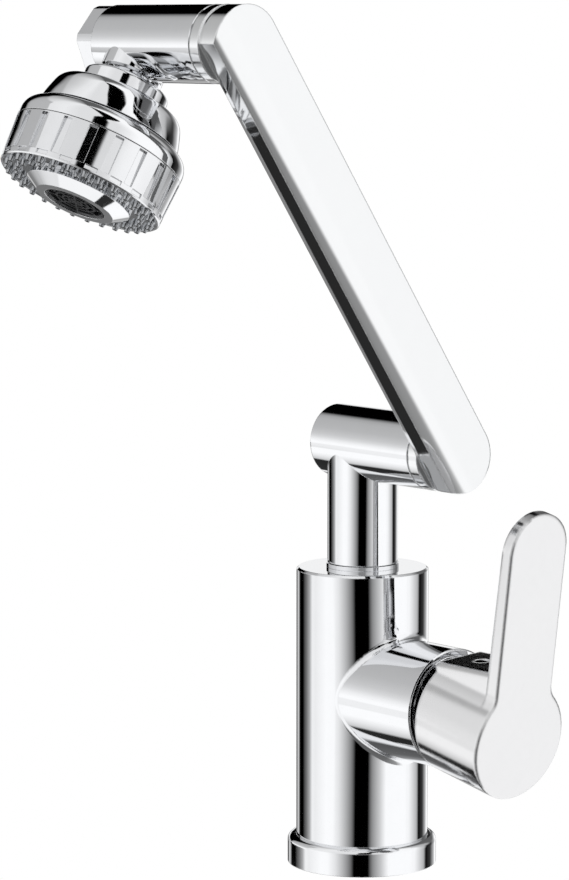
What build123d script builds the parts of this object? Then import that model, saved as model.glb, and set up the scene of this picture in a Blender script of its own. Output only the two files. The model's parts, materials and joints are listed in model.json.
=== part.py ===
from build123d import *
import math
import os

# Folding caravan tap. Millimetres, +Z up, -Y towards the user, +X towards the lever.
# The origin is the middle of the foot, where the fixing stud enters.
# The model stands in the pose of the photograph: arm leaning to the front, lever pulled out.

# Clearances that the pieces share
seat_gap = 0.05          # radial play of a screwed or pressed piece in its own casting
run_gap = 0.05           # radial play of a shaft that turns in its bush
seal_gap = 0.1           # radial play left round a seal
face_gap = 0.25          # axial play between two faces that turn on each other
overrun = 1.0            # how far a cutting shape runs past the face it opens

# Body and foot
body_radius = 25.0
body_height = 113.5
body_edge = 0.8
foot_wall = 3.3
foot_height = 10.5
foot_round = 2.2
deck_seal_inner = 20.5
deck_seal_width = 3.4
deck_seal_thick = 2.2
stud_hole_radius = 3.4   # tapped M8
stud_hole_depth = 20.0
inlet_radius = 4.5       # tapped M10 x 1
inlet_depth = 14.0
inlet_spacing = 26.0
inlet_bore_radius = 3.0

# Side housing of the mixing cartridge
housing_radius = 22.4
housing_height = 66.4    # height of the cartridge axis
housing_reach = 51.0     # from the body axis to the housing's mouth
housing_edge = 0.5
housing_blend = 3.0
seat_depth = 31.0        # from the mouth down to the cartridge seat
cartridge_radius = 17.4
nut_thread_radius = 19.4
mouth_radius = 20.4
mouth_depth = 4.6
port_radius = 2.8
port_spread = 11.0
port_drop = 5.0
port_rise = 8.5

# Cartridge
base_thick = 3.5
disc_thick = 3.0
fixed_disc_radius = 15.4
moving_disc_radius = 12.5
slider_thick = 5.0
slider_bore_play = 0.1
shell_wall = 1.8
shell_lid = 2.0
shell_neck_radius = 13.0
shell_neck_length = 6.2
nut_slot_width = 3.0
nut_slot_count = 4
carrier_neck_radius = 11.1
carrier_flange_radius = 15.3
carrier_flange_thick = 4.6
carrier_reach = 7.0      # how far the carrier's neck stands past the cartridge's lid
pivot_depth = 10.0       # from the mouth down to the lever's pivot pin
pin_radius = 1.5
pin_length = 21.0
stem_width = 8.0
stem_height = 7.0
stem_swing = 2.0         # room above and below the stem in the carrier
stem_ball_radius = 3.0
stem_ball_reach = 8.2    # from the pivot down to the ball that drives the discs
stem_neck_width = 4.0
stem_neck_height = 3.0
stem_reach = 31.0        # from the pivot out to the stem's outer end
port_seal_radius = 4.2
port_seal_proud = 0.9
disc_slot_length = 15.0

# Lever: its turn and lift in the photograph, and its shape
lever_turn_now = 3.4     # degrees about the cartridge axis
lever_lift_now = 5.6     # degrees that the stem hangs down from its middle
skirt_lean = 5.2         # degrees between the stem and the skirt's own axis
skirt_radius = 21.8
skirt_wall = 2.2
skirt_length = 32.4
rim_reach = 12.5         # from the pivot out to the rim of the skirt
face_thick = 5.6
blade_width = 28.0
blade_length = 87.4      # from the middle of the disc to the tip
blade_tip_thick = 4.4
blade_corner = 8.0
lever_edge = 0.9
saddle_width = 24.0
saddle_rise = 0.4
saddle_slope = 10.8      # degrees between the saddle's top and the skirt's axis
saddle_round = 2.4
socket_reach = 19.5      # from the pivot out to the socket that takes the stem
socket_radius = 7.4
socket_web = 12.0
socket_play = 0.5
set_screw_radius = 2.5
set_screw_length = 8.0
plug_radius = 2.9
plug_thick = 1.6
plug_reach = 24.0        # from the pivot out to the set screw
plug_height = 22.6       # from the stem's middle up to the face of the plug

# Neck and its bearing in the body
neck_radius = 13.3
washer_radius = 13.7
washer_thick = 1.6
spigot_radius = 9.5
spigot_length = 27.0
neck_bush_wall = 2.0
neck_bush_length = 8.5
water_radius = 6.0
keeper_depth = 12.5      # from the top of the body down to the keeper screw
keeper_radius = 2.1
keeper_bite = 1.3
keeper_play = 0.25
oring_wire = 1.6
oring_groove_width = 2.0
neck_oring_depths = (18.5, 22.5)

# Elbow barrels: both have the same bearing
barrel_radius = 13.75
barrel_edge = 0.9
seam_edge = 0.3
lower_axis_height = 160.5
seam_reach = 40.0        # from the body axis to the seam between barrel and arm
lower_barrel_end = 15.0  # how far the lower barrel passes the body axis
upper_barrel_end = 15.5
bearing_bore_radius = 9.3
bush_pocket_radius = 10.5
bush_length = 10.0
bore_shoulder = 26.0     # from the seam back to the shoulder of the thrust washer
chamber_radius = 11.2
spindle_radius = 8.5
spindle_thread_radius = 6.8
spindle_thread_length = 9.0
spindle_bore_radius = 4.2
spindle_oring_depths = (13.5, 17.5)
thrust_radius = 11.0
thrust_thick = 1.8
nut_across_flats = 17.0
nut_thick = 4.5
cap_thick = 3.0
cap_edge = 0.4
cap_key_radius = 4.0
cap_key_depth = 1.6

# Arm
arm_lean = 34.1          # degrees from upright, to the front
arm_length = 181.0       # from elbow to elbow
arm_front = 55.2
bar_depth = 12.3
bar_width_low = 23.8
bar_width_high = 23.0
arm_blend = 9.0
arm_corner = 1.5
arm_channel_radius = 3.4
spindle_seat_depth = 11.8
spindle_floor = 2.0

# Spout barrel with its hexagonal end plug and the ball that carries the spray head
hex_across = 25.0
hex_length = 9.1
hex_edge = 0.8
hex_turn = 9.0           # degrees from the front up to the first corner
plug_spigot = 4.5
plug_oring_place = 2.2
outlet_x = -1.7          # where the spray head's axis crosses the spout barrel
head_lean = 29.7         # degrees from hanging, to the front
stub_radius = 11.4
stub_reach = 13.9
stub_edge = 0.8
ball_radius = 9.5
ball_reach = 22.0        # from the spout barrel's axis to the middle of the ball
ball_cut = 8.4           # from the ball's middle to its flat underside
ball_neck_radius = 6.0
ball_thread_length = 5.0
ball_bore_radius = 3.4
ball_flange_radius = 7.2
ball_flange_thick = 1.0
ball_washer_inner = 7.6
cup_wall = 1.2
cup_gap = 0.1
cup_split = 0.8
cup_reach = 4.6

# Spray head: distances along its axis are counted from the spout barrel's axis
nut_top = 16.2
nut_foot = 24.5
nut_radius = 15.7
nut_edge = 1.5
core_neck_top = 21.0
core_neck_radius = 12.9
dome_seat_radius = 16.4
dome_outline = (         # outside of the dome, from its lip to its foot
    (20.9, 22.9),
    (21.9, 23.2),
    (23.6, 25.0),
    (24.6, 27.6),
    (25.5, 30.6),
    (26.3, 34.2),
)
dome_lining = (          # inside of the dome, where it sits on the core
    (20.4, 26.1),
    (23.0, 28.6),
    (24.2, 31.6),
    (24.65, 34.2),
)
core_radius = 24.6
collar_top = 34.9
collar_outline = (       # outside of the collar's shoulder
    (26.4, 34.9),
    (28.2, 35.4),
    (29.8, 36.7),
    (30.8, 38.8),
    (31.0, 40.6),
)
grip_top = 42.9
grip_foot = 59.5
grip_radius = 31.0
grip_foot_radius = 30.1
grip_edge = 0.4
grip_inner_radius = 27.2
grip_step_top = 56.4
face_plate_radius = 28.9
face_plate_top = 56.6
face_plate_foot = 59.4
flute_count = 20
flute_width = 3.2
flute_depth = 1.4
flute_head_margin = 0.5
flute_foot_margin = 2.4
flute_turn = 6.8         # degrees from the arm's side of the head to the first flute
notch_width = 4.6
notch_height = 1.5
notch_foot_margin = 0.9
nozzle_radius = 1.4
nozzle_tip_radius = 0.9
nozzle_length = 1.7
nozzle_count = 30
nozzle_rows = (27.2, 23.4)
hub_radius = 13.0
hub_top = 54.0
cone_flange_radius = 19.4
cone_flange_foot = 60.9
cone_foot_radius = 14.5
cone_foot = 64.0
aerator_radius = 11.2
aerator_wall = 1.2
aerator_foot = 62.4
washer_top = 52.5
washer_hole_radius = 8.0
gallery_radius = 7.5
mesh_thick = 0.8
mesh_rings = (10.0, 7.6, 5.2, 2.8)
mesh_spoke_count = 8
mesh_bar = 0.8


class TurnLine:
    """A line that round pieces are turned about, with a radial direction square to it."""

    def __init__(self, origin, direction, radial):
        self.origin = Vector(*origin)
        self.direction = Vector(*direction)
        self.radial = Vector(*radial)
        self.axis = Axis(self.origin, self.direction)
        # Outlines drawn on this plane are (radius, distance) points
        self.side = Plane(
            origin=self.origin, x_dir=self.radial, z_dir=self.radial.cross(self.direction)
        )

    def point(self, distance):
        return self.origin + self.direction * distance

    def at(self, distance):
        """The plane square to the line at this distance, facing along it."""
        return Plane(origin=self.point(distance), x_dir=self.radial, z_dir=self.direction)


def towards(angle):
    """Unit direction in the plane of the arm: 0 is straight up, positive leans to the front."""
    turn = math.radians(angle)
    return Vector(0, -math.sin(turn), math.cos(turn))


def tilted(direction, lift, turn):
    """A direction of the level lever, hung down by one angle and turned by the other."""
    return Vector(*direction).rotate(Axis.Y, lift).rotate(Axis.X, turn)


def revolved(line, outline, mode=Mode.ADD):
    """Turn a half outline about the line, inside the part that is open."""
    with BuildSketch(line.side) as profile:
        with BuildLine():
            Polyline(*outline, close=True)
        make_face()
    revolve(profile.sketch, axis=line.axis, mode=mode)


def turned(line, outline):
    """A round piece from its half outline."""
    with BuildPart() as piece:
        revolved(line, outline)
    return piece


def ring(line, start, end, outer, inner):
    """A plain ring or bush between two distances along the line."""
    return turned(line, ((inner, start), (outer, start), (outer, end), (inner, end)))


def disc(line, start, end, radius, mode=Mode.ADD):
    """A solid or a bore between two distances along the line, inside the part that is open."""
    revolved(line, ((0, start), (radius, start), (radius, end), (0, end)), mode)


def cut_grooves(line, places, bore):
    """Grooves in a shaft for the seals that run in this bore, inside the part that is open."""
    depth = oring_wire + 2 * seat_gap
    with BuildSketch(line.side) as profile:
        for place in places:
            with Locations((bore, place)):
                Rectangle(2 * depth, oring_groove_width)
    revolve(profile.sketch, axis=line.axis, mode=Mode.SUBTRACT)


def orings(line, places, bore):
    """Rubber rings that just clear the bore they seal."""
    with BuildPart() as piece:
        with BuildSketch(line.side):
            for place in places:
                with Locations((bore - seat_gap - oring_wire / 2, place)):
                    Circle(oring_wire / 2)
        revolve(axis=line.axis)
    return piece


def save(piece, name):
    piece.part.label = name
    export_step(piece.part, f"parts/{name}.step")


os.makedirs("parts", exist_ok=True)

# Lines that the pieces turn about
upright = TurnLine((0, 0, 0), (0, 0, 1), (1, 0, 0))
housing = TurnLine((0, 0, housing_height), (1, 0, 0), (0, 0, 1))
lower = TurnLine((0, 0, lower_axis_height), (1, 0, 0), (0, 0, 1))
arm_way = towards(arm_lean)
upper = TurnLine(lower.origin + arm_way * arm_length, (1, 0, 0), (0, 0, 1))
flow = towards(180 - head_lean)
spray = TurnLine(upper.point(outlet_x), flow, (1, 0, 0))
keeper = TurnLine((0, body_radius - body_edge, body_height - keeper_depth), (0, -1, 0), (1, 0, 0))

# Stations along the cartridge axis
seat_x = housing_reach - seat_depth
fixed_disc_x = seat_x + base_thick
moving_disc_x = fixed_disc_x + disc_thick
slider_x = moving_disc_x + disc_thick
flange_x = slider_x + slider_thick
lid_x = flange_x + carrier_flange_thick + face_gap
neck_x = lid_x + shell_lid
mouth_x = housing_reach - mouth_depth
pivot_x = housing_reach - pivot_depth
ports = ((-port_drop, port_spread), (-port_drop, -port_spread), (port_rise, 0))

# Stations up the neck
spigot_foot = body_height - spigot_length
neck_foot = body_height + washer_thick + face_gap
bush_foot = body_height - neck_bush_length
bush_outer = spigot_radius + neck_bush_wall

# Body casting: column, side housing, cartridge chamber and waterways
with BuildPart() as body_casting:
    with BuildSketch():
        Circle(body_radius)
    extrude(amount=body_height)
    chamfer(body_casting.edges().group_by(Axis.Z)[-1], body_edge)
    with BuildSketch(housing.at(0)):
        Circle(housing_radius)
    extrude(amount=housing_reach)
    curved = body_casting.edges().filter_by(GeomType.CIRCLE, reverse=True)
    fillet(curved.filter_by(GeomType.LINE, reverse=True), housing_blend)
    chamfer(body_casting.edges().filter_by(GeomType.CIRCLE).sort_by(Axis.X)[-1], housing_edge)
    revolved(
        housing,
        (
            (0, seat_x),
            (cartridge_radius + seat_gap, seat_x),
            (cartridge_radius + seat_gap, neck_x),
            (nut_thread_radius, neck_x),
            (nut_thread_radius, mouth_x),
            (mouth_radius, mouth_x),
            (mouth_radius, housing_reach + overrun),
            (0, housing_reach + overrun),
        ),
        Mode.SUBTRACT,
    )
    # Bearing of the neck, open at the top, and the riser that feeds it
    revolved(
        upright,
        (
            (0, housing_height + port_rise),
            (water_radius, housing_height + port_rise),
            (water_radius, spigot_foot - face_gap),
            (spigot_radius + run_gap, spigot_foot - face_gap),
            (spigot_radius + run_gap, bush_foot),
            (bush_outer, bush_foot),
            (bush_outer, body_height + overrun),
            (0, body_height + overrun),
        ),
        Mode.SUBTRACT,
    )
    disc(keeper, -overrun, body_radius - spigot_radius, keeper_radius + seat_gap, Mode.SUBTRACT)
    # Underside: stud hole, groove of the deck seal and hose inlets
    disc(upright, -overrun, stud_hole_depth, stud_hole_radius, Mode.SUBTRACT)
    with BuildSketch():
        Circle(deck_seal_inner + deck_seal_width)
        Circle(deck_seal_inner, mode=Mode.SUBTRACT)
    extrude(amount=deck_seal_thick, mode=Mode.SUBTRACT)
    with BuildSketch():
        with Locations((0, inlet_spacing / 2), (0, -inlet_spacing / 2)):
            Circle(inlet_radius)
    extrude(amount=inlet_depth, mode=Mode.SUBTRACT)
    with BuildSketch():
        with Locations((0, inlet_spacing / 2), (0, -inlet_spacing / 2)):
            Circle(inlet_bore_radius)
    extrude(amount=housing_height - port_drop, mode=Mode.SUBTRACT)
    with BuildSketch(housing.at(0)):
        with Locations(*ports):
            Circle(port_radius)
    extrude(amount=seat_x, mode=Mode.SUBTRACT)
save(body_casting, "body_casting")

# Foot ring round the body, and the seal in the foot
with BuildPart() as foot_ring:
    with BuildSketch():
        Circle(body_radius + foot_wall)
    extrude(amount=foot_height)
    fillet(foot_ring.edges().group_by(Axis.Z)[-1], foot_round)
    disc(upright, -overrun, foot_height + overrun, body_radius + seat_gap, Mode.SUBTRACT)
save(foot_ring, "foot_ring")
seal_outer = deck_seal_inner + deck_seal_width
deck_seal = ring(upright, 0, deck_seal_thick, seal_outer - seat_gap, deck_seal_inner + seat_gap)
save(deck_seal, "deck_seal")

# Neck bearing: washer on top of the body, bush inside, keeper screw from the back
bearing_bore = spigot_radius + run_gap
washer_head = body_height + washer_thick
neck_washer = ring(upright, body_height, washer_head, washer_radius, bearing_bore)
save(neck_washer, "neck_washer")
neck_bush = ring(upright, bush_foot, body_height, bush_outer - seat_gap, bearing_bore)
save(neck_bush, "neck_bush")
with BuildPart() as keeper_screw:
    keeper_length = keeper.origin.Y - spigot_radius + keeper_bite - seal_gap
    disc(keeper, 0, keeper_length, keeper_radius)
    with BuildSketch(keeper.at(0)):
        RegularPolygon(keeper_radius / 2, 6)
    extrude(amount=keeper_radius, mode=Mode.SUBTRACT)
save(keeper_screw, "keeper_screw")

# Cartridge, fixed pieces
with BuildPart() as cartridge_base:
    with BuildSketch(housing.at(seat_x)):
        Circle(cartridge_radius)
        with Locations(*ports):
            Circle(port_radius, mode=Mode.SUBTRACT)
    extrude(amount=base_thick)
    with BuildSketch(housing.at(seat_x)):
        with Locations(*ports):
            Circle(port_seal_radius)
    extrude(amount=port_seal_proud, mode=Mode.SUBTRACT)
save(cartridge_base, "cartridge_base")

with BuildPart() as port_seals:
    with BuildSketch(housing.at(seat_x)):
        with Locations(*ports):
            Circle(port_seal_radius - seat_gap)
        with Locations(*ports):
            Circle(port_radius, mode=Mode.SUBTRACT)
    extrude(amount=port_seal_proud)
save(port_seals, "port_seals")

with BuildPart() as fixed_ceramic_disc:
    with BuildSketch(housing.at(fixed_disc_x)):
        Circle(fixed_disc_radius)
        with Locations(*ports):
            Circle(port_radius, mode=Mode.SUBTRACT)
    extrude(amount=disc_thick)
save(fixed_ceramic_disc, "fixed_ceramic_disc")

shell_inner = cartridge_radius - shell_wall
shell_end = neck_x + shell_neck_length
shell_bore = carrier_neck_radius + run_gap
shell_outline = (
    (cartridge_radius, fixed_disc_x),
    (cartridge_radius, neck_x),
    (shell_neck_radius, neck_x),
    (shell_neck_radius, shell_end),
    (shell_bore, shell_end),
    (shell_bore, lid_x),
    (shell_inner, lid_x),
    (shell_inner, fixed_disc_x),
)
cartridge_shell = turned(housing, shell_outline)
save(cartridge_shell, "cartridge_shell")

with BuildPart() as cartridge_nut:
    with BuildSketch(housing.at(neck_x)):
        Circle(nut_thread_radius - seat_gap)
        Circle(shell_neck_radius + seal_gap, mode=Mode.SUBTRACT)
    extrude(amount=mouth_x - neck_x)
    with BuildSketch(housing.at(mouth_x)):
        with PolarLocations(nut_thread_radius, nut_slot_count):
            Rectangle(nut_thread_radius, nut_slot_width)
    extrude(amount=-nut_slot_width / 2, mode=Mode.SUBTRACT)
save(cartridge_nut, "cartridge_nut")

cap_inner = shell_neck_radius + seal_gap
cap_outline = (
    (mouth_radius - seat_gap, mouth_x),
    (mouth_radius - seat_gap, housing_reach - housing_edge),
    (mouth_radius - seat_gap - housing_edge, housing_reach),
    (cap_inner, housing_reach),
    (cap_inner, mouth_x),
)
trim_cap = turned(housing, cap_outline)
save(trim_cap, "trim_cap")

# Cartridge, moving pieces: the carrier turns with the lever, the disc and slider also slide
carrier_up = tilted((0, 0, 1), 0, lever_turn_now)
carrier_left = tilted((0, -1, 0), 0, lever_turn_now)
slide_now = stem_ball_reach * math.sin(math.radians(lever_lift_now))
carrier = TurnLine(housing.origin, (1, 0, 0), carrier_up)
shifted = TurnLine(housing.origin + carrier_up * slide_now, (1, 0, 0), carrier_up)
pivot = housing.point(pivot_x)
pin = TurnLine(pivot, carrier_left, carrier_up)
carrier_end = neck_x + carrier_reach
slot_height = stem_height + 2 * stem_swing
slot_width = stem_width + 2 * seal_gap

with BuildPart() as moving_ceramic_disc:
    disc(shifted, moving_disc_x + run_gap, slider_x, moving_disc_radius)
    with BuildSketch(shifted.at(moving_disc_x)):
        SlotOverall(disc_slot_length, 2 * port_radius)
    extrude(amount=disc_thick / 2, mode=Mode.SUBTRACT)
save(moving_ceramic_disc, "moving_ceramic_disc")

slider_bore = stem_ball_radius + slider_bore_play
disc_slider = ring(shifted, slider_x, flange_x - face_gap, moving_disc_radius, slider_bore)
save(disc_slider, "disc_slider")

with BuildPart() as carrier_rotor:
    disc(carrier, flange_x, flange_x + carrier_flange_thick, carrier_flange_radius)
    disc(carrier, flange_x, carrier_end, carrier_neck_radius)
    with BuildSketch(carrier.at(flange_x)):
        Rectangle(slot_height, slot_width)
    extrude(amount=carrier_end - flange_x, mode=Mode.SUBTRACT)
    disc(pin, -carrier_neck_radius, carrier_neck_radius, pin_radius + run_gap, Mode.SUBTRACT)
save(carrier_rotor, "carrier_rotor")

with BuildPart() as pivot_pin:
    disc(pin, -pin_length / 2, pin_length / 2, pin_radius)
save(pivot_pin, "pivot_pin")

# Lever: the stem and the skirt point in slightly different directions from the pivot
skirt_tilt = lever_lift_now + skirt_lean
stem_way = tilted((1, 0, 0), lever_lift_now, lever_turn_now)
stem_up = tilted((0, 0, 1), lever_lift_now, lever_turn_now)
skirt_way = tilted((1, 0, 0), skirt_tilt, lever_turn_now)
skirt_up = tilted((0, 0, 1), skirt_tilt, lever_turn_now)
stem = TurnLine(pivot, stem_way, stem_up)
skirt = TurnLine(stem.point(rim_reach), skirt_way, skirt_up)
screw = TurnLine(stem.point(plug_reach), stem_up, stem_way)
back_s = skirt_length - face_thick

with BuildPart() as lever_stem:
    with BuildSketch(stem.at(-stem_ball_reach)):
        Rectangle(stem_neck_height, stem_neck_width)
    extrude(amount=stem_ball_reach)
    with BuildSketch(stem.at(-stem_ball_reach / 2)):
        Rectangle(stem_height, stem_width)
    extrude(amount=stem_ball_reach / 2 + stem_reach)
    with Locations(Location(stem.point(-stem_ball_reach))):
        Sphere(stem_ball_radius)
    disc(pin, -stem_width, stem_width, pin_radius + run_gap, Mode.SUBTRACT)
save(lever_stem, "lever_stem")

# Saddle on top of the skirt, running level back from the blade
with BuildPart() as saddle:
    rise = math.tan(math.radians(saddle_slope))
    saddle_low = skirt_radius + saddle_rise
    with BuildSketch(skirt.side.offset(-saddle_width / 2)):
        with BuildLine():
            Polyline(
                (skirt_radius / 2, -rim_reach / 2),
                (saddle_low - rise * rim_reach / 2, -rim_reach / 2),
                (saddle_low + rise * skirt_length, skirt_length),
                (skirt_radius / 2, skirt_length),
                close=True,
            )
        make_face()
    extrude(amount=saddle_width)
    top_face = saddle.faces().sort_by(Axis(skirt.origin, skirt_up))[-1]
    long_edges = top_face.edges().filter_by(Axis(skirt.side.origin, skirt.side.z_dir), reverse=True)
    fillet(long_edges, saddle_round)
    skirt_back = skirt.at(skirt_length - lever_edge)
    split(bisect_by=skirt_back, keep=Keep.BOTTOM)

# Hollow of the skirt, left solid where the socket holds the stem
with BuildPart() as skirt_hollow:
    disc(skirt, -rim_reach, back_s, skirt_radius - skirt_wall)
    with BuildSketch(stem.at(socket_reach)):
        Circle(socket_radius)
        with Locations((skirt_radius / 2, 0)):
            Rectangle(skirt_radius, socket_web)
    extrude(amount=skirt_length, mode=Mode.SUBTRACT)

with BuildPart() as lever_handle:
    # Disc and blade share one flat front
    blade_radius = blade_width / 2
    blade_straight = blade_length - blade_radius
    with BuildSketch(skirt.at(skirt_length)) as front_outline:
        Circle(skirt_radius)
        with Locations((blade_straight / 2, 0)):
            Rectangle(blade_straight, blade_width)
        with Locations((blade_straight, 0)):
            Circle(blade_radius)
        corners = front_outline.vertices().filter_by_position(
            Axis.X, blade_radius, skirt_radius
        )
        fillet(corners, blade_corner)
    extrude(amount=-face_thick)
    # The blade's back runs in towards the tip
    with BuildSketch(skirt.side.offset(-blade_width)):
        with BuildLine():
            Polyline(
                (skirt_radius, back_s),
                (blade_length + overrun, skirt_length - blade_tip_thick),
                (blade_length + overrun, back_s - overrun),
                (skirt_radius, back_s - overrun),
                close=True,
            )
        make_face()
    extrude(amount=2 * blade_width, mode=Mode.SUBTRACT)
    fillet(lever_handle.edges().group_by(Axis(skirt.origin, skirt_way))[-1], lever_edge)
    # Skirt, saddle and the plane that the rim lies in
    disc(skirt, -rim_reach / 2, back_s, skirt_radius)
    add(saddle.part)
    add(skirt_hollow.part, mode=Mode.SUBTRACT)
    split(bisect_by=stem.at(rim_reach), keep=Keep.TOP)
    # Socket of the stem, and the way in for its set screw
    with BuildSketch(stem.at(socket_reach - overrun)):
        Rectangle(stem_height + 2 * seat_gap, stem_width + 2 * seat_gap)
    extrude(amount=stem_reach + socket_play - socket_reach + overrun, mode=Mode.SUBTRACT)
    disc(screw, 0, plug_height, set_screw_radius + seat_gap, Mode.SUBTRACT)
    plug_foot = plug_height - plug_thick
    disc(screw, plug_foot, plug_height + overrun, plug_radius + seat_gap, Mode.SUBTRACT)
save(lever_handle, "lever_handle")

with BuildPart() as lever_set_screw:
    screw_foot = stem_height / 2
    disc(screw, screw_foot, screw_foot + set_screw_length, set_screw_radius)
    with BuildSketch(screw.at(screw_foot + set_screw_length)):
        RegularPolygon(set_screw_radius / 2, 6)
    extrude(amount=-set_screw_radius, mode=Mode.SUBTRACT)
save(lever_set_screw, "lever_set_screw")

with BuildPart() as lever_plug:
    disc(screw, plug_foot, plug_height, plug_radius)
    chamfer(lever_plug.edges().group_by(Axis(screw.origin, stem_up))[-1], seam_edge)
save(lever_plug, "lever_plug")


def cut_bearing(line, start):
    """Chamber, bearing bore and bush pocket of an elbow barrel, inside the part that is open."""
    shoulder = seam_reach - bore_shoulder
    pocket = seam_reach - bush_length
    outline = (
        (0, start),
        (chamber_radius, start),
        (chamber_radius, shoulder),
        (bearing_bore_radius, shoulder),
        (bearing_bore_radius, pocket),
        (bush_pocket_radius, pocket),
        (bush_pocket_radius, seam_reach),
        (0, seam_reach),
    )
    revolved(line, outline, Mode.SUBTRACT)


def elbow_bush(line):
    """Plastic bush pressed into the mouth of an elbow barrel."""
    end = seam_reach - face_gap
    outer = bush_pocket_radius - seat_gap
    return ring(line, seam_reach - bush_length, end, outer, spindle_radius + run_gap)


def elbow_spindle(line):
    """Hollow shaft fixed in the arm, with two seal grooves and a threaded inner end."""
    shoulder = seam_reach - bore_shoulder - run_gap
    start = shoulder - spindle_thread_length
    end = spindle_end
    outline = (
        (spindle_bore_radius, start),
        (spindle_thread_radius, start),
        (spindle_thread_radius, shoulder),
        (spindle_radius, shoulder),
        (spindle_radius, end),
        (0, end),
        (0, end - spindle_floor),
        (spindle_bore_radius, end - spindle_floor),
    )
    with BuildPart() as piece:
        revolved(line, outline)
        cut_grooves(line, seal_places, bearing_bore_radius)
        add(arm_channel.part, mode=Mode.SUBTRACT)
    return piece


def thrust_washer(line):
    """Washer that holds the spindle's shoulder against the barrel's shoulder."""
    end = seam_reach - bore_shoulder - run_gap
    return ring(line, end - thrust_thick, end, thrust_radius, spindle_thread_radius + seat_gap)


def elbow_nut(line):
    """Hexagon nut on the inner end of a spindle."""
    start = seam_reach - bore_shoulder - run_gap - thrust_thick - nut_thick
    with BuildPart() as piece:
        with BuildSketch(line.at(start)):
            RegularPolygon(nut_across_flats / 2, 6, major_radius=False)
            Circle(spindle_thread_radius + seat_gap, mode=Mode.SUBTRACT)
        extrude(amount=nut_thick)
    return piece


seal_places = [seam_reach - depth for depth in spindle_oring_depths]
spindle_end = seam_reach + spindle_seat_depth

# Arm: a flat bar with a round boss at each end, and the channel that runs up inside it
bar_back = arm_front - bar_depth
channel_x = arm_front - bar_depth / 2
channel_line = TurnLine(lower.point(channel_x), arm_way, (1, 0, 0))
with BuildPart() as arm_channel:
    channel_start = spindle_radius / 2
    disc(channel_line, channel_start, arm_length - channel_start, arm_channel_radius)

with BuildPart() as arm_bar:
    with BuildSketch(Plane(origin=lower.point(seam_reach), x_dir=arm_way, z_dir=(1, 0, 0))):
        with Locations((0, 0), (arm_length, 0)):
            Circle(barrel_radius)
    extrude(amount=arm_front - seam_reach)
    with BuildSketch(Plane(origin=lower.point(bar_back), x_dir=arm_way, z_dir=(1, 0, 0))):
        with BuildLine():
            Polyline(
                (0, bar_width_low / 2),
                (arm_length, bar_width_high / 2),
                (arm_length, -bar_width_high / 2),
                (0, -bar_width_low / 2),
                close=True,
            )
        make_face()
    extrude(amount=bar_depth)
    kinks = arm_bar.edges().filter_by(Axis.X).sort_by(SortBy.LENGTH)[:4]
    fillet(kinks, arm_blend)
    fillet(arm_bar.edges().group_by(Axis.X)[-1], arm_corner)
    chamfer(arm_bar.edges().group_by(Axis.X)[0], seam_edge)
    for boss in (lower, upper):
        disc(boss, seam_reach - overrun, spindle_end, spindle_radius + seat_gap, Mode.SUBTRACT)
    add(arm_channel.part, mode=Mode.SUBTRACT)
save(arm_bar, "arm_bar")

# Lower elbow: the neck tee carries the bearing, the arm carries the spindle
barrel_mouth = seam_reach - face_gap
with BuildPart() as neck_tee:
    disc(lower, -lower_barrel_end, barrel_mouth, barrel_radius)
    fillet(neck_tee.edges().group_by(Axis.X)[0], barrel_edge)
    chamfer(neck_tee.edges().filter_by(GeomType.CIRCLE).sort_by(Axis.X)[-1], seam_edge)
    disc(upright, neck_foot, lower_axis_height, neck_radius)
    disc(upright, spigot_foot, lower_axis_height, spigot_radius)
    cut_bearing(lower, -lower_barrel_end - overrun)
    disc(upright, spigot_foot - overrun, lower_axis_height, water_radius, Mode.SUBTRACT)
    neck_places = [body_height - depth for depth in neck_oring_depths]
    cut_grooves(upright, neck_places, bearing_bore)
    keeper_low = body_height - keeper_depth - keeper_radius - keeper_play
    keeper_high = keeper_low + 2 * (keeper_radius + keeper_play)
    keeper_floor = spigot_radius - keeper_bite
    groove = (
        (keeper_floor, keeper_low),
        (spigot_radius + overrun, keeper_low),
        (spigot_radius + overrun, keeper_high),
        (keeper_floor, keeper_high),
    )
    revolved(upright, groove, Mode.SUBTRACT)
save(neck_tee, "neck_tee")
neck_seals = orings(upright, neck_places, bearing_bore)
save(neck_seals, "neck_seals")

with BuildPart() as tee_end_cap:
    cap_start = -lower_barrel_end
    disc(lower, cap_start, cap_start + cap_thick, chamber_radius - seat_gap)
    chamfer(tee_end_cap.edges().group_by(Axis.X)[0], cap_edge)
    with BuildSketch(lower.at(cap_start)):
        RegularPolygon(cap_key_radius, 6)
    extrude(amount=cap_key_depth, mode=Mode.SUBTRACT)
save(tee_end_cap, "tee_end_cap")

for line, place in ((lower, "fold"), (upper, "spout")):
    save(elbow_bush(line), f"{place}_bush")
    save(elbow_spindle(line), f"{place}_spindle")
    save(orings(line, seal_places, bearing_bore_radius), f"{place}_seals")
    save(thrust_washer(line), f"{place}_thrust_washer")
    save(elbow_nut(line), f"{place}_nut")

# Upper elbow: the spout barrel with its outlet stub, closed by a hexagonal plug
with BuildPart() as spout_barrel:
    disc(upper, -upper_barrel_end, barrel_mouth, barrel_radius)
    chamfer(spout_barrel.edges().filter_by(GeomType.CIRCLE).sort_by(Axis.X)[-1], seam_edge)
    stub_outline = (
        (0, 0),
        (stub_radius, 0),
        (stub_radius, stub_reach - stub_edge),
        (stub_radius - stub_edge, stub_reach),
        (0, stub_reach),
    )
    revolved(spray, stub_outline)
    cut_bearing(upper, -upper_barrel_end - overrun)
    disc(spray, 0, stub_reach + overrun, ball_neck_radius + seat_gap, Mode.SUBTRACT)
save(spout_barrel, "spout_barrel")

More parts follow.
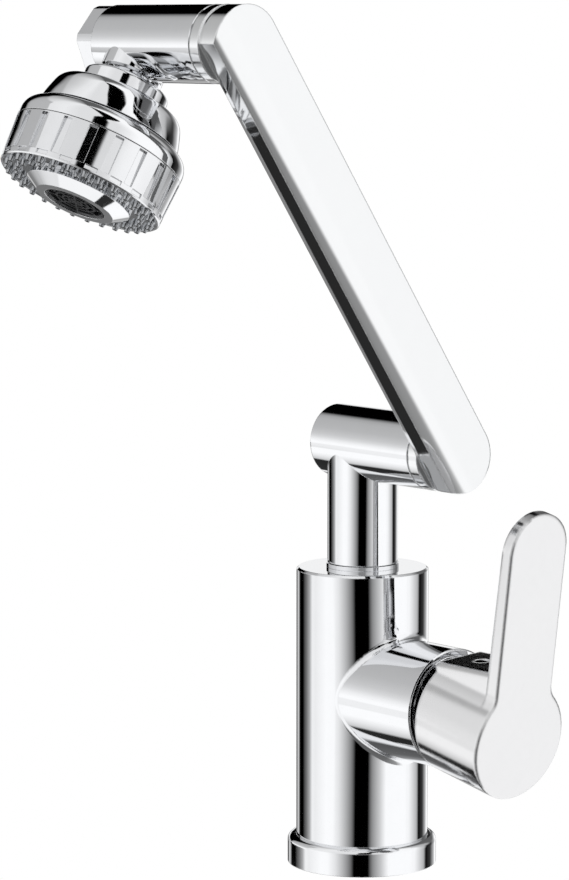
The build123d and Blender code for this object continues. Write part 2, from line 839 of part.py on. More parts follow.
with BuildPart() as spout_end_plug:
    plug_end = -upper_barrel_end - hex_length
    hex_angle = -90 - hex_turn
    with BuildSketch(upper.at(plug_end)):
        RegularPolygon(hex_across / 2, 6, major_radius=False, rotation=hex_angle)
        Circle(barrel_radius, mode=Mode.INTERSECT)
    extrude(amount=hex_length)
    chamfer(spout_end_plug.edges().group_by(Axis.X)[0], hex_edge)
    spigot_end = -upper_barrel_end + plug_spigot
    disc(upper, -upper_barrel_end, spigot_end, chamber_radius - seat_gap)
    plug_groove = -upper_barrel_end + plug_oring_place
    cut_grooves(upper, [plug_groove], chamber_radius)
save(spout_end_plug, "spout_end_plug")
plug_seal = orings(upper, [plug_groove], chamber_radius)
save(plug_seal, "plug_seal")

# Ball that carries the spray head
with BuildPart() as ball_stem:
    disc(spray, stub_reach - ball_thread_length, ball_reach, ball_neck_radius)
    disc(spray, stub_reach, stub_reach + ball_flange_thick, ball_flange_radius)
    with Locations(Location(spray.point(ball_reach))):
        Sphere(ball_radius)
    split(bisect_by=spray.at(ball_reach + ball_cut), keep=Keep.BOTTOM)
    disc(spray, 0, ball_reach + ball_radius, ball_bore_radius, Mode.SUBTRACT)
save(ball_stem, "ball_stem")


def cup(start, end):
    """Band of a hollow ball round the ball joint, between two distances from its middle."""
    inner = ball_radius + cup_gap
    outer = inner + cup_wall
    with BuildPart() as piece:
        with BuildSketch(spray.side):
            with Locations((0, ball_reach)):
                Circle(outer)
                Circle(inner, mode=Mode.SUBTRACT)
            with Locations((outer / 2, ball_reach + (start + end) / 2)):
                Rectangle(outer, end - start, mode=Mode.INTERSECT)
        revolve(axis=spray.axis)
    return piece


save(cup(-cup_reach, -cup_split), "ball_seat_ring")
save(cup(cup_split, cup_reach), "ball_seal")

# Spray head
cavity_radius = ball_radius + 2 * cup_gap + cup_wall
ball_centre = Location(spray.point(ball_reach))
with BuildPart() as head_nut:
    disc(spray, nut_top, nut_foot, nut_radius)
    fillet(head_nut.edges().group_by(Axis(spray.origin, flow))[0], nut_edge)
    bore = core_neck_radius + seat_gap
    disc(spray, core_neck_top, nut_foot + overrun, bore, Mode.SUBTRACT)
    with Locations(ball_centre):
        Sphere(cavity_radius, mode=Mode.SUBTRACT)
save(head_nut, "head_nut")

with BuildPart() as head_dome:
    with BuildSketch(spray.side):
        with BuildLine():
            Polyline(
                (core_neck_radius + seat_gap, nut_foot),
                (dome_seat_radius, nut_foot),
                dome_outline[0],
            )
            Spline(*dome_outline)
            Polyline(
                dome_outline[-1],
                *reversed(dome_lining),
                (core_neck_radius + seat_gap, dome_lining[0][1]),
                (core_neck_radius + seat_gap, nut_foot),
            )
        make_face()
    revolve(axis=spray.axis)
save(head_dome, "head_dome")

collar_foot = grip_top
with BuildPart() as head_collar:
    with BuildSketch(spray.side):
        with BuildLine():
            Spline(*collar_outline)
            Polyline(
                collar_outline[-1],
                (grip_radius, collar_foot),
                (core_radius + seat_gap, collar_foot),
                (core_radius + seat_gap, collar_top),
                collar_outline[0],
            )
        make_face()
    revolve(axis=spray.axis)
save(head_collar, "head_collar")

# The core fills the dome and collar, and widens below them to carry the grip ring
grip_bearing = grip_inner_radius - run_gap
core_outline = [(0, core_neck_top), (core_neck_radius, core_neck_top)]
core_outline.append((core_neck_radius, dome_lining[0][1] + seat_gap))
for radius, distance in dome_lining[:-1]:
    core_outline.append((radius - seal_gap, distance + seat_gap))
core_outline += [
    (core_radius, dome_lining[-1][1]),
    (core_radius, collar_foot + seat_gap),
    (grip_bearing, collar_foot + seat_gap),
    (grip_bearing, face_plate_top),
    (0, face_plate_top),
]
with BuildPart() as head_core:
    revolved(spray, core_outline)
    with Locations(ball_centre):
        Sphere(cavity_radius, mode=Mode.SUBTRACT)
    disc(spray, ball_reach, washer_top, gallery_radius, Mode.SUBTRACT)
    disc(spray, washer_top, face_plate_top + overrun, hub_radius + seat_gap, Mode.SUBTRACT)
save(head_core, "head_core")

# Grip ring with its flutes, turned to choose between jet and spray
with BuildPart() as grip_ring:
    ring_top = grip_top + face_gap
    outer_outline = (
        (0, ring_top),
        (grip_radius, ring_top),
        (grip_foot_radius, grip_foot),
        (0, grip_foot),
    )
    revolved(spray, outer_outline)
    chamfer(grip_ring.edges().group_by(Axis(spray.origin, flow))[-1], grip_edge)
    inner_outline = (
        (0, ring_top - overrun),
        (grip_inner_radius, ring_top - overrun),
        (grip_inner_radius, grip_step_top),
        (face_plate_radius + seal_gap, grip_step_top),
        (face_plate_radius + seal_gap, grip_foot + overrun),
        (0, grip_foot + overrun),
    )
    revolved(spray, inner_outline, Mode.SUBTRACT)
    with BuildSketch(spray.at(ring_top + flute_head_margin)):
        with PolarLocations(grip_radius, flute_count, start_angle=flute_turn):
            Rectangle(2 * flute_depth, flute_width)
    extrude(amount=grip_foot - flute_foot_margin - ring_top - flute_head_margin, mode=Mode.SUBTRACT)
    with BuildSketch(spray.at(grip_foot - notch_foot_margin)):
        half_pitch = 180 / flute_count
        with PolarLocations(grip_radius, flute_count, start_angle=flute_turn + half_pitch):
            Rectangle(2 * flute_depth, notch_width)
    extrude(amount=-notch_height, mode=Mode.SUBTRACT)
save(grip_ring, "grip_ring")

# Spray face with rubber-like nozzles in two rows
with BuildPart() as spray_face:
    with BuildSketch(spray.at(face_plate_top)):
        Circle(face_plate_radius)
        Circle(hub_radius + seat_gap, mode=Mode.SUBTRACT)
    extrude(amount=face_plate_foot - face_plate_top)
    for row, radius in enumerate(nozzle_rows):
        turn = row * 180 / nozzle_count
        with BuildSketch(spray.at(face_plate_foot)):
            with PolarLocations(radius, nozzle_count, start_angle=turn):
                Circle(nozzle_radius)
        draft = math.degrees(math.atan2(nozzle_radius - nozzle_tip_radius, nozzle_length))
        extrude(amount=nozzle_length, taper=draft)
save(spray_face, "spray_face")

# Outlet cone and the aerator inside it
cone_outline = (
    (aerator_radius + seat_gap, hub_top),
    (hub_radius, hub_top),
    (hub_radius, face_plate_foot),
    (cone_flange_radius, face_plate_foot),
    (cone_flange_radius, cone_flange_foot),
    (cone_foot_radius, cone_foot),
    (aerator_radius + seat_gap, cone_foot),
)
outlet_cone = turned(spray, cone_outline)
save(outlet_cone, "outlet_cone")
aerator_inner = aerator_radius - aerator_wall
aerator_insert = ring(spray, hub_top, aerator_foot, aerator_radius, aerator_inner)
save(aerator_insert, "aerator_insert")
aerator_washer = ring(spray, washer_top, hub_top, hub_radius, washer_hole_radius)
save(aerator_washer, "aerator_washer")

with BuildPart() as aerator_mesh:
    with BuildSketch(spray.at(aerator_foot)):
        Circle(aerator_radius)
        Circle(mesh_rings[0], mode=Mode.SUBTRACT)
        for radius in mesh_rings[1:]:
            with BuildSketch(mode=Mode.PRIVATE) as hoop:
                Circle(radius)
                Circle(radius - mesh_bar, mode=Mode.SUBTRACT)
            add(hoop.sketch)
        with PolarLocations(0, mesh_spoke_count // 2, angular_range=180, endpoint=False):
            Rectangle(2 * mesh_rings[0] + mesh_bar, mesh_bar)
    extrude(amount=mesh_thick)
save(aerator_mesh, "aerator_mesh")
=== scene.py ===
import bmesh
import bpy
import json
import math
from mathutils import Matrix, Vector


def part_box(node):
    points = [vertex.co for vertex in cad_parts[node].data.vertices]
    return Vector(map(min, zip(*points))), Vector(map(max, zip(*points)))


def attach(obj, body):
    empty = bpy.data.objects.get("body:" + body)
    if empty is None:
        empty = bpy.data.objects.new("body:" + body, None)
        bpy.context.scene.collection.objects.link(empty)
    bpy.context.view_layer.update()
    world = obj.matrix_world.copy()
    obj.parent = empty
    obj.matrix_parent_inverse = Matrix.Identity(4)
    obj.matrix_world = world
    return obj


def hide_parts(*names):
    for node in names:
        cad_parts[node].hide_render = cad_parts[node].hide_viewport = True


# Folding caravan tap in a white studio. Metres, in the frame of the CAD model.
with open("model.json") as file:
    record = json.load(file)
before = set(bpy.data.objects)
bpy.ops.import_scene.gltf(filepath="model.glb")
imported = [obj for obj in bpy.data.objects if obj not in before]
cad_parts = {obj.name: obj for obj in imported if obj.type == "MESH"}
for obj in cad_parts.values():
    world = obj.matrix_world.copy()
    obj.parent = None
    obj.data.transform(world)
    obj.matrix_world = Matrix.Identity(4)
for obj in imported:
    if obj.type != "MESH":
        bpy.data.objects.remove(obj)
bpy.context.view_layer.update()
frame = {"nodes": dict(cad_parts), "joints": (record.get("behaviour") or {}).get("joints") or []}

MM = 0.001
AZIMUTH = math.radians(48.45)     # of the camera, from the front towards the lever


def linear(code):
    """An sRGB hex colour as linear light."""
    parts = [int(code[i:i + 2], 16) / 255 for i in (1, 3, 5)]
    return [v / 12.92 if v <= 0.04045 else ((v + 0.055) / 1.055) ** 2.4 for v in parts]


def node(tree, kind, sockets=None, **settings):
    """Adds a node. A socket's value is a constant, or another node's output to be linked."""
    made = tree.nodes.new(kind)
    for key, value in settings.items():
        setattr(made, key, value)
    for key, value in (sockets or {}).items():
        if isinstance(value, bpy.types.NodeSocket):
            tree.links.new(value, made.inputs[key])
        else:
            made.inputs[key].default_value = value
    return made


def maths(tree, operation, a, b):
    return node(tree, "ShaderNodeMath", {0: a, 1: b}, operation=operation).outputs[0]


def ramp(tree, value, stops):
    """A colour ramp from (place, grey or colour) stops."""
    made = node(tree, "ShaderNodeValToRGB", {0: value})
    band = made.color_ramp        # linear between its stops
    for _ in range(len(stops) - 2):
        band.elements.new(0.5)    # its real place is set below
    for element, (place, shade) in zip(band.elements, stops):
        element.position = place
        tone = [shade] * 3 if isinstance(shade, float) else shade
        element.color = (*tone, 1)
    return made.outputs[0]


# Materials. Patterns are sized in millimetres of the real object.
BROAD_GRAIN = 12                  # times as broad as the fine grain
FINE_SHARE = 0.6                  # of the fine grain in the mix of both
NOISE_LOW, NOISE_HIGH = 0.3, 0.7  # between these most of the noise lies
TINT_LOW, TINT_HIGH = 0.35, 0.65  # the colour changes between these


def surface(name, colour, metal, rough, grain, depth, stretch=(1, 1, 1), edge=0.0, spread=0.12,
            tint=0.06):
    """A finish whose roughness, colour and relief vary with a grain of that size.

    Grain, relief depth and edge radius are in millimetres. Spread is the change of roughness and
    tint the change of colour, as shares.
    """
    mat = bpy.data.materials.new(name)
    mat.use_nodes = True
    tree = mat.node_tree
    tree.nodes.clear()
    place = node(tree, "ShaderNodeTexCoord").outputs["Object"]
    scaled = node(tree, "ShaderNodeMapping", {"Vector": place, "Scale": stretch}).outputs[0]
    fine = node(tree, "ShaderNodeTexNoise",
                {"Vector": scaled, "Scale": 1 / (grain * MM), "Detail": 4.0}).outputs[0]
    broad = node(tree, "ShaderNodeTexNoise",
                 {"Vector": place, "Scale": 1 / (BROAD_GRAIN * grain * MM),
                  "Detail": 2.0}).outputs[0]
    mixed = maths(tree, "ADD", maths(tree, "MULTIPLY", fine, FINE_SHARE),
                  maths(tree, "MULTIPLY", broad, 1 - FINE_SHARE))
    low, high = rough * (1 - spread), rough * (1 + spread)
    roughness = node(tree, "ShaderNodeMapRange",
                     {"Value": mixed, "From Min": NOISE_LOW, "From Max": NOISE_HIGH,
                      "To Min": low, "To Max": high}).outputs[0]
    base = linear(colour)
    darker = [v * (1 - tint) for v in base]
    shade = ramp(tree, mixed, [(TINT_LOW, darker), (TINT_HIGH, base)])
    normal = {}
    if edge:
        # A soft edge: the corner is broken by that radius
        bevel = node(tree, "ShaderNodeBevel", {"Radius": edge * MM}, samples=4)
        normal["Normal"] = bevel.outputs[0]
    bump = node(tree, "ShaderNodeBump",
                {"Height": fine, "Distance": depth * MM, "Strength": 1.0, **normal}).outputs[0]
    shader = node(tree, "ShaderNodeBsdfPrincipled",
                  {"Base Color": shade, "Metallic": metal, "Roughness": roughness,
                   "Normal": bump})
    node(tree, "ShaderNodeOutputMaterial", {"Surface": shader.outputs[0]})
    return mat


# Bright chromium plate over polished brass: a mirror with a trace of buffing haze
chrome = surface("bright_chrome_on_polished_brass", "#EDEEF0", 1.0, 0.045, 6.0, 0.0002, edge=0.35,
                 spread=0.3, tint=0.02)
# Lever face: chromium plate over a linished casting, soft enough to blur what it mirrors
lever_chrome = surface("chrome_on_linished_zinc_casting", "#E2E2E3", 1.0, 0.09, 3.0, 0.0004,
                       edge=1.5, spread=0.3, tint=0.02)
# Arm: chromium plate over a cast bar whose edges were rounded on the polishing wheel
arm_chrome = surface("chrome_on_wheel_polished_casting", "#EAEBEC", 1.0, 0.05, 6.0, 0.0002,
                     edge=0.8, spread=0.3, tint=0.01)
# Fluted ring: chromium plate over moulded plastic, slightly wavy
ring_chrome = surface("chrome_on_moulded_abs", "#E6E7E9", 1.0, 0.07, 4.0, 0.0012, edge=0.3,
                      spread=0.3, tint=0.03)
# Turned brass inside the elbows: fine rings left by the tool
turned_brass = surface("turned_brass", "#C9A45A", 1.0, 0.28, 0.5, 0.003, stretch=(6, 1, 1),
                       edge=0.15)
# Machined stainless steel: the screws, pin and stem
steel = surface("machined_stainless_steel", "#B4B6B8", 1.0, 0.26, 0.6, 0.002, stretch=(1, 1, 4),
                edge=0.15)
# Moulded nitrile rubber: dull black with a fine bloom
rubber = surface("moulded_nitrile_rubber", "#1B1B1C", 0.0, 0.62, 0.7, 0.006, spread=0.2, tint=0.2)
# Moulded acetal bearings: creamy and faintly waxy
acetal = surface("moulded_acetal", "#E4E1D6", 0.0, 0.42, 1.2, 0.002, edge=0.1)
# Moulded nylon of the core and cartridge: charcoal with a fine spark texture
nylon = surface("moulded_glass_filled_nylon", "#2C2D2F", 0.0, 0.5, 0.5, 0.004, edge=0.1, tint=0.15)
# Spray face: thin bright plate over moulded plastic, softer than the ring's
face_plastic = surface("bright_plate_on_moulded_acetal", "#B4B6B9", 1.0, 0.1, 0.8, 0.003, edge=0.2)
# Lapped alumina discs: white and almost glassy
alumina = surface("lapped_alumina_ceramic", "#EFEDE6", 0.0, 0.12, 0.3, 0.0004, edge=0.1)

FINISH = {
    chrome: ("body_casting", "foot_ring", "neck_washer", "neck_tee", "tee_end_cap",
             "spout_barrel", "spout_end_plug", "head_nut", "head_dome", "head_collar",
             "outlet_cone", "lever_plug", "trim_cap", "ball_stem"),
    arm_chrome: ("arm_bar",),
    lever_chrome: ("lever_handle",),
    ring_chrome: ("grip_ring",),
    turned_brass: ("cartridge_nut", "fold_spindle", "spout_spindle", "fold_nut", "spout_nut"),
    steel: ("keeper_screw", "pivot_pin", "lever_stem", "lever_set_screw"),
    rubber: ("deck_seal", "port_seals", "neck_seals", "fold_seals", "spout_seals", "plug_seal",
             "ball_seal", "aerator_washer"),
    acetal: ("neck_bush", "fold_bush", "spout_bush", "fold_thrust_washer",
             "spout_thrust_washer", "cartridge_base", "ball_seat_ring"),
    nylon: ("cartridge_shell", "carrier_rotor", "disc_slider", "head_core", "aerator_insert",
            "aerator_mesh"),
    face_plastic: ("spray_face",),
    alumina: ("fixed_ceramic_disc", "moving_ceramic_disc"),
}
for mat, names in FINISH.items():
    for name in names:
        mesh = frame["nodes"][name].data
        mesh.materials.clear()
        mesh.materials.append(mat)


# Place and directions of the spray head, from the record's joints
joints = {joint["name"]: joint for joint in frame["joints"]}
spray_way = Vector(joints["head_spin"]["axis"]).normalized()
ball = Vector(joints["head_spin"]["pos_m"])
spray_across = Vector((1, 0, 0))
spray_up = spray_way.cross(spray_across)


def on_head(radius, angle, reach):
    """A point on the spray head: millimetres out from its axis and down from the ball."""
    out = spray_across * math.cos(angle) + spray_up * math.sin(angle)
    return ball + (out * radius + spray_way * reach) * MM


def wires(name, loops, radius, mat, body):
    """Round wire of that radius in millimetres through each list of points."""
    curve = bpy.data.curves.new(name, "CURVE")
    curve.dimensions = "3D"
    curve.bevel_depth = radius * MM
    curve.bevel_resolution = 1
    curve.use_fill_caps = True
    for points in loops:
        spline = curve.splines.new("POLY")
        spline.points.add(len(points) - 1)
        for item, point in zip(spline.points, points):
            item.co = (*point, 1)
    curve.materials.append(mat)
    obj = bpy.data.objects.new(name, curve)
    bpy.context.scene.collection.objects.link(obj)
    bpy.context.view_layer.update()
    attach(obj, body)


# Arm casting as photographed: round ends, one long flat whose rear half draws in, and a front face
# that falls away to that flat. It takes the place of the plain CAD bar. Sizes in millimetres.
arm_foot = Vector(joints["arm_fold"]["pos_m"])
arm_run = Vector(joints["spout_turn"]["pos_m"]) - arm_foot
ARM_LENGTH = arm_run.length / MM
arm_way = arm_run.normalized()
arm_right = arm_way.cross(Vector((1, 0, 0)))
ARM_SEAM, ARM_FRONT = (corner[0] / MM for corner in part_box("arm_bar"))
ARM_RADIUS = 13.75                # same as the barrels
ARM_FLAT = 11.3                   # from the arm's middle to the long flat
ARM_BACK = 44.5                   # rear face of the bar, from the tap's middle
DRAFT_LINE, DRAFT = 47.0, 0.5     # where the rear half starts to draw in, and by how much
CROWN_START = -2.0                # across the bar, where its face starts to fall away
CROWN_RADIUS = 24.0
SEAM_EDGE = 0.3                   # broken corner of a boss at the seam to its barrel
SHARP = math.radians(5)           # edges sharper than this stay edges
ARM_ROWS, BOSS_SIDES = 40, 96     # facets of a round end and of a boss


def arm_point(x, along, across):
    """A point of the arm, along from its lower elbow and across from its middle."""
    on_line = Vector((x * MM, arm_foot.y, arm_foot.z))
    return on_line + (arm_way * along + arm_right * across) * MM


def arm_face(across):
    """Distance of the arm's front face from the tap's middle."""
    return ARM_FRONT - max(CROWN_START - across, 0) ** 2 / (2 * CROWN_RADIUS)


def arm_ring(inset, x_at):
    """The arm's outline drawn in by inset, at the x that belongs to each place across."""
    radius = ARM_RADIUS - inset
    first = -math.asin((ARM_FLAT - inset) / radius)
    turns = [first + (math.pi / 2 - first) * row / ARM_ROWS for row in range(ARM_ROWS + 1)]
    rows = [(radius * math.cos(t), radius * math.sin(t)) for t in turns]
    foot = [arm_point(x_at(across), -reach, across) for reach, across in rows]
    head = [arm_point(x_at(across), ARM_LENGTH + reach, across) for reach, across in rows]
    return foot + head[::-1]


def boss_ring(along, x, radius):
    turns = [side * 2 * math.pi / BOSS_SIDES for side in range(BOSS_SIDES)]
    return [arm_point(x, along + radius * math.cos(t), radius * math.sin(t)) for t in turns]


def skin(shape, rings):
    """Closes the sides between rings of points, and gives the first and the last ring's corners."""
    loops = [[shape.verts.new(point) for point in ring] for ring in rings]
    for near, far in zip(loops, loops[1:]):
        for k in range(len(near)):
            shape.faces.new((near[k - 1], near[k], far[k], far[k - 1]))
    return loops[0], loops[-1]


shape = bmesh.new()
bar = [arm_ring(DRAFT, lambda across: ARM_BACK), arm_ring(0, lambda across: DRAFT_LINE),
       arm_ring(0, arm_face)]
for loop in skin(shape, bar):
    for k in range(ARM_ROWS):
        shape.faces.new((loop[k], loop[k + 1], loop[-2 - k], loop[-1 - k]))
for along in (0, ARM_LENGTH):
    # Each boss ends inside the bar, so that no gap shows between them
    boss = [boss_ring(along, ARM_SEAM, ARM_RADIUS - SEAM_EDGE),
            boss_ring(along, ARM_SEAM + SEAM_EDGE, ARM_RADIUS),
            boss_ring(along, ARM_BACK + SEAM_EDGE, ARM_RADIUS)]
    for loop in skin(shape, boss):
        shape.faces.new(loop)
bmesh.ops.recalc_face_normals(shape, faces=shape.faces)
for face in shape.faces:
    face.smooth = True
cast = bpy.data.meshes.new("arm_casting")
shape.to_mesh(cast)
shape.free()
cast.set_sharp_from_angle(angle=SHARP)
cast.materials.append(arm_chrome)
arm = bpy.data.objects.new("arm_casting", cast)
bpy.context.scene.collection.objects.link(arm)
bpy.context.view_layer.update()
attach(arm, "arm")
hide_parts("arm_bar")

# Fine gauze behind the plastic grid of the aerator, in millimetres
GAUZE_RADIUS, GAUZE_PITCH = 9.9, 1.1
GAUZE_REACH = 39.9                # down from the ball
GAUZE_LAYER = 0.15                # the second layer of wire lies this much lower
GAUZE_WIRE = 0.13                 # radius
strands = []
gauze_rows = int(GAUZE_RADIUS / GAUZE_PITCH)
for turned, reach in ((0, GAUZE_REACH), (math.pi / 2, GAUZE_REACH + GAUZE_LAYER)):
    for row in range(-gauze_rows, gauze_rows + 1):
        offset = row * GAUZE_PITCH
        half_angle = math.atan2(math.sqrt(GAUZE_RADIUS ** 2 - offset ** 2), offset)
        strands.append([on_head(GAUZE_RADIUS, turned + half_angle, reach),
                        on_head(GAUZE_RADIUS, turned - half_angle, reach)])
wires("aerator_gauze", strands, GAUZE_WIRE, steel, "head")

# Painted shade: a short dark rubber rod at the tip of each spray nozzle stands in for the shade
# inside its opening, in millimetres
NOZZLES, NOZZLE_ROWS = 30, (27.2, 23.4)     # in one row, and the radius of each row
NOZZLE_REACH = 39.1               # tips, down from the ball
MOUTH_RADIUS, MOUTH_DEPTH, MOUTH_PROUD = 0.6, 0.2, 0.01
mouths = []
for row, radius in enumerate(NOZZLE_ROWS):
    for number in range(NOZZLES):
        angle = (number + row / 2) * 2 * math.pi / NOZZLES
        mouths.append([on_head(radius, angle, NOZZLE_REACH - MOUTH_DEPTH),
                       on_head(radius, angle, NOZZLE_REACH + MOUTH_PROUD)])
# Dark rubber rods as painted shade in the nozzle openings
wires("nozzle_mouth_painted_shade", mouths, MOUTH_RADIUS, rubber, "head")

# Screw threads in the foot: radius, pitch and depth in millimetres
STUD_THREAD = (3.4, 1.25, 20.0)
INLET_THREAD = (4.5, 1.0, 14.0)
INLET_OUT = 13.0                  # each inlet from the tap's middle
THREAD_STEPS = 24                 # in one turn
THREAD_WIRE = 0.22                # radius of the ridge, as a share of the pitch


def thread(name, y, radius, pitch, depth):
    """Screw thread up a hole in the foot, with one pitch left clear at both ends."""
    points = []
    for number in range(int(THREAD_STEPS * (depth - 2 * pitch) / pitch)):
        angle = number * 2 * math.pi / THREAD_STEPS
        height = pitch + number * pitch / THREAD_STEPS
        points.append(Vector((radius * math.cos(angle), y + radius * math.sin(angle), height)) * MM)
    wires(name, [points], pitch * THREAD_WIRE, turned_brass, "tap_body")


thread("stud_thread", 0, *STUD_THREAD)
thread("inlet_thread_cold", INLET_OUT, *INLET_THREAD)
thread("inlet_thread_hot", -INLET_OUT, *INLET_THREAD)

# Camera, solved from the photograph
PHOTO_HEIGHT = 880                # pixels
FOCAL = 3400.92                   # pixels
SENSOR = 36                       # millimetres
NEAREST = 50 * MM
DISTANCE = 1272.53 * MM
HEIGHT = 317.35 * MM
PITCH = math.radians(6.98)
YAW = math.radians(1.33)
toward = Vector((math.sin(AZIMUTH), -math.cos(AZIMUTH), 0))
right = Vector((math.cos(AZIMUTH), math.sin(AZIMUTH), 0))
up = Vector((0, 0, 1))
back_level = toward * math.cos(YAW) + right * math.sin(YAW)
cam_right = right * math.cos(YAW) - toward * math.sin(YAW)
cam_back = back_level * math.cos(PITCH) + up * math.sin(PITCH)
cam_up = up * math.cos(PITCH) - back_level * math.sin(PITCH)
data = bpy.data.cameras.new("camera")
data.sensor_width = SENSOR
data.lens = FOCAL / PHOTO_HEIGHT * SENSOR
data.clip_start = NEAREST
camera = bpy.data.objects.new("camera", data)
bpy.context.scene.collection.objects.link(camera)
turn = Matrix((cam_right, cam_up, cam_back)).transposed().to_4x4()
camera.matrix_world = Matrix.Translation(toward * DISTANCE + up * HEIGHT) @ turn
bpy.context.scene.camera = camera

# Studio: what the chrome mirrors. Angles run from the camera's side round to its right.
world = bpy.data.worlds.new("studio")
bpy.context.scene.world = world
world.use_nodes = True
sky = world.node_tree
sky.nodes.clear()
ray = node(sky, "ShaderNodeTexCoord").outputs["Generated"]


def along_ray(way):
    """How far the mirrored direction runs that way, from -1 to 1."""
    return node(sky, "ShaderNodeVectorMath", {0: ray, 1: way},
                operation="DOT_PRODUCT").outputs["Value"]


ray_right, ray_back, ray_up = along_ray(right), along_ray(toward), along_ray(up)
ray_front = along_ray((0, -1, 0))
bearing = maths(sky, "DIVIDE", maths(sky, "ARCTAN2", ray_right, ray_back), 2 * math.pi)
# Angle round the tap's X axis: what the two barrels and the side housing mirror from end to end
roll = maths(sky, "DIVIDE", maths(sky, "ARCTAN2", ray_up, ray_front), 2 * math.pi)


def round_ramp(angle, stops):
    """Greys round a full turn, from (degrees, grey) stops."""
    return ramp(sky, maths(sky, "ADD", angle, 0.5), [(d / 360 + 0.5, shade) for d, shade in stops])


def step(value, low, high):
    """0 below low, 1 above high."""
    return node(sky, "ShaderNodeMapRange", {"Value": value, "From Min": low, "From Max": high},
                interpolation_type="SMOOTHSTEP").outputs[0]


def between(value, low, high, soft):
    """1 between low and high, with edges of that softness."""
    return maths(sky, "SUBTRACT", step(value, low - soft, low + soft),
                 step(value, high - soft, high + soft))


def over(under, mask, shade):
    """Paints a grey over the studio where the mask is 1."""
    top = shade if isinstance(shade, bpy.types.NodeSocket) else (shade, shade, shade, 1)
    return node(sky, "ShaderNodeMix", {0: mask, 6: under, 7: top}, data_type="RGBA").outputs[2]


# Upright panels at the height of the column. Bearing 0 is behind the camera.
walls = round_ramp(bearing, [
    (-180, 0.02), (-163, 0.02), (-154, 0.6), (-148, 0.5), (-141, 0.0), (-126, 0.0), (-114, 0.17),
    (-105, 0.4), (-98, 0.9), (-90, 0.86), (-66, 1.0), (-54, 0.99), (-42, 0.8), (-30, 0.49),
    (-18, 0.17), (-13, 0.0), (10, 0.0), (17, 0.26), (30, 0.58), (42, 0.99), (78, 1.0), (90, 0.95),
    (102, 0.67), (112, 0.46), (118, 0.0), (134, 0.04), (150, 0.5), (158, 1.0), (167, 0.9),
    (173, 0.0), (180, 0.0),
])
# Softer boxes above it
boxes = round_ramp(bearing, [
    (-180, 0.2), (-150, 0.4), (-130, 0.52), (-110, 0.66), (-90, 0.8), (-60, 0.85), (-30, 0.75),
    (30, 0.75), (58, 0.98), (95, 0.95), (106, 0.55), (126, 0.4), (136, 0.12), (180, 0.1),
])
# The table in front: dim towards the user, bright to both sides
table = round_ramp(bearing, [
    (-180, 0.9), (-58, 0.95), (-38, 0.1), (30, 0.14), (62, 0.3), (79, 1.0), (180, 1.0),
])
# The left end of the studio, from the floor in front over the ceiling to the backdrop
end_wall = round_ramp(roll, [
    (-180, 0.45), (-150, 0.45), (-137, 0.35), (-133, 0.95), (-117, 0.95), (-114, 0.03),
    (-66, 0.02), (-62, 0.6), (-52, 0.82), (-40, 1.0), (-4, 1.0), (4, 0.88), (13, 0.7), (22, 0.59),
    (32, 0.53), (43, 0.48), (56, 0.46), (72, 0.44), (84, 0.38), (92, 0.2), (98, 0.0), (161, 0.0),
    (165, 0.85), (180, 0.85),
])
# Heights in the studio are sines of the angle above the horizon, bearings are in degrees
BOXES_FROM, BOXES_FULL = 0.0, 0.3
TABLE_FROM, TABLE_FULL = 0.27, 0.33         # below the horizon
END_BEARINGS = (-92, 175.5)                 # outside these lies the end wall
COLUMN_BAND = (-0.265, -0.115)              # here the column mirrors the panels alone
END_TOP_FROM, END_TOP_FULL = 0.69, 0.75     # above this the end wall stops
studio = over(walls, step(ray_up, BOXES_FROM, BOXES_FULL), boxes)
studio = over(studio, step(maths(sky, "MULTIPLY", ray_up, -1.0), TABLE_FROM, TABLE_FULL), table)
before_end = between(bearing, END_BEARINGS[0] / 360, END_BEARINGS[1] / 360, 0.004)
left_end = maths(sky, "SUBTRACT", 1.0, before_end)
beside = maths(sky, "SUBTRACT", 1.0, between(ray_up, *COLUMN_BAND, 0.012))
beside = maths(sky, "MULTIPLY", left_end, beside)
under_top = maths(sky, "SUBTRACT", 1.0, step(ray_up, END_TOP_FROM, END_TOP_FULL))
studio = over(studio, maths(sky, "MULTIPLY", beside, under_top), end_wall)
# A lighter stretch of the end wall at the height that the outlet cone mirrors
skirting = round_ramp(roll, [(-180, 0.45), (-137, 0.15), (-95, 0.24), (-58, 0.6), (180, 0.6)])
SKIRTING_BAND = (-0.54, -0.27)
SKIRTING_ROLL = (-135, -60)                 # degrees
low_end = maths(sky, "MULTIPLY", left_end, between(ray_up, *SKIRTING_BAND, 0.03))
low_end = maths(sky, "MULTIPLY", low_end,
                between(roll, SKIRTING_ROLL[0] / 360, SKIRTING_ROLL[1] / 360, 0.02))
studio = over(studio, low_end, skirting)
# The dark gap behind the camera widens and leans to the right as it rises
LOW_LEAN, HIGH_LEAN, WIDENING = 12, 22, 16  # degrees
GAP_LEFT, GAP_RIGHT, GAP_SOFT = -20, 2, (4, 5)


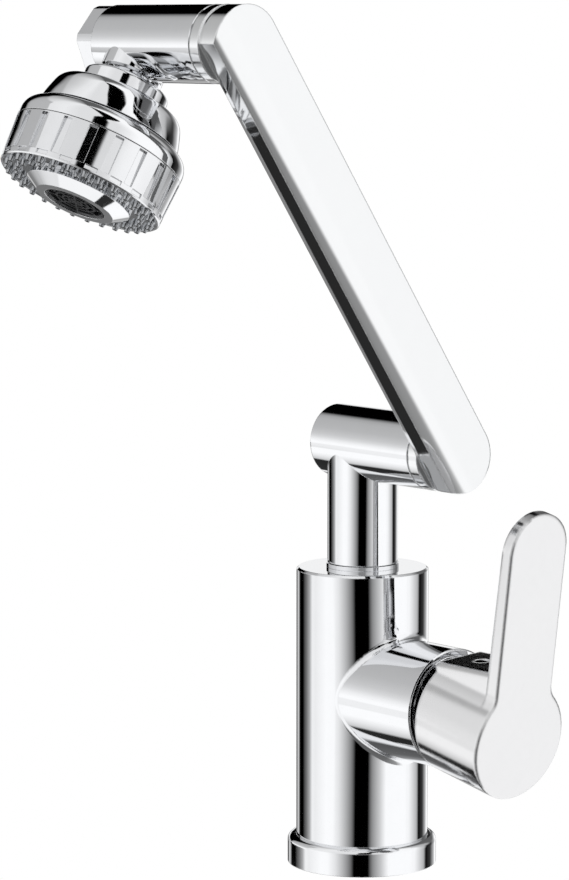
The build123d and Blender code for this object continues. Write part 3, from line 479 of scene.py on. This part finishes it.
def rising(low, high, degrees):
    """A turn of that many degrees, reached between those heights."""
    return maths(sky, "MULTIPLY", step(ray_up, low, high), degrees / 360)


lean = maths(sky, "ADD", rising(0.0, 0.35, LOW_LEAN), rising(0.62, 0.78, HIGH_LEAN))
leaned = maths(sky, "SUBTRACT", bearing, lean)
widened = maths(sky, "SUBTRACT", leaned, rising(0.6, 0.75, WIDENING))
gap = maths(sky, "SUBTRACT", step(leaned, GAP_LEFT / 360, (GAP_LEFT + GAP_SOFT[0]) / 360),
            step(widened, GAP_RIGHT / 360, (GAP_RIGHT + GAP_SOFT[1]) / 360))
studio = over(studio, maths(sky, "MULTIPLY", gap, step(ray_up, 0.05, 0.3)), 0.0)
# The lamps are a little brighter than the white backdrop, which the camera sees directly
LAMP_GAIN = 1.15
lamps = node(sky, "ShaderNodeVectorMath", {0: studio, "Scale": LAMP_GAIN},
             operation="SCALE").outputs[0]
seen = node(sky, "ShaderNodeLightPath").outputs["Is Camera Ray"]
final = node(sky, "ShaderNodeMix", {0: seen, 6: lamps, 7: (1, 1, 1, 1)},
             data_type="RGBA").outputs[2]
background = node(sky, "ShaderNodeBackground", {"Color": final, "Strength": 1.0})
node(sky, "ShaderNodeOutputWorld", {"Surface": background.outputs[0]})

# Plain white floor, left out of the mirror image so that the studio's walls reach down the column
FLOOR_SIZE = 6.0
FLOOR_DROP = 0.2 * MM             # below the foot, so that the two faces do not flicker
bpy.ops.mesh.primitive_plane_add(size=FLOOR_SIZE, location=(0, 0, -FLOOR_DROP))
floor = bpy.context.object
floor.name = "floor"
paint = bpy.data.materials.new("white_floor")
paint.use_nodes = True
paint.node_tree.nodes.clear()
glow = node(paint.node_tree, "ShaderNodeEmission", {"Color": (1, 1, 1, 1), "Strength": 1.0})
node(paint.node_tree, "ShaderNodeOutputMaterial", {"Surface": glow.outputs[0]})
floor.data.materials.append(paint)
floor.visible_glossy = False
floor.visible_diffuse = False

scene = bpy.context.scene
scene.view_settings.view_transform = "Standard"
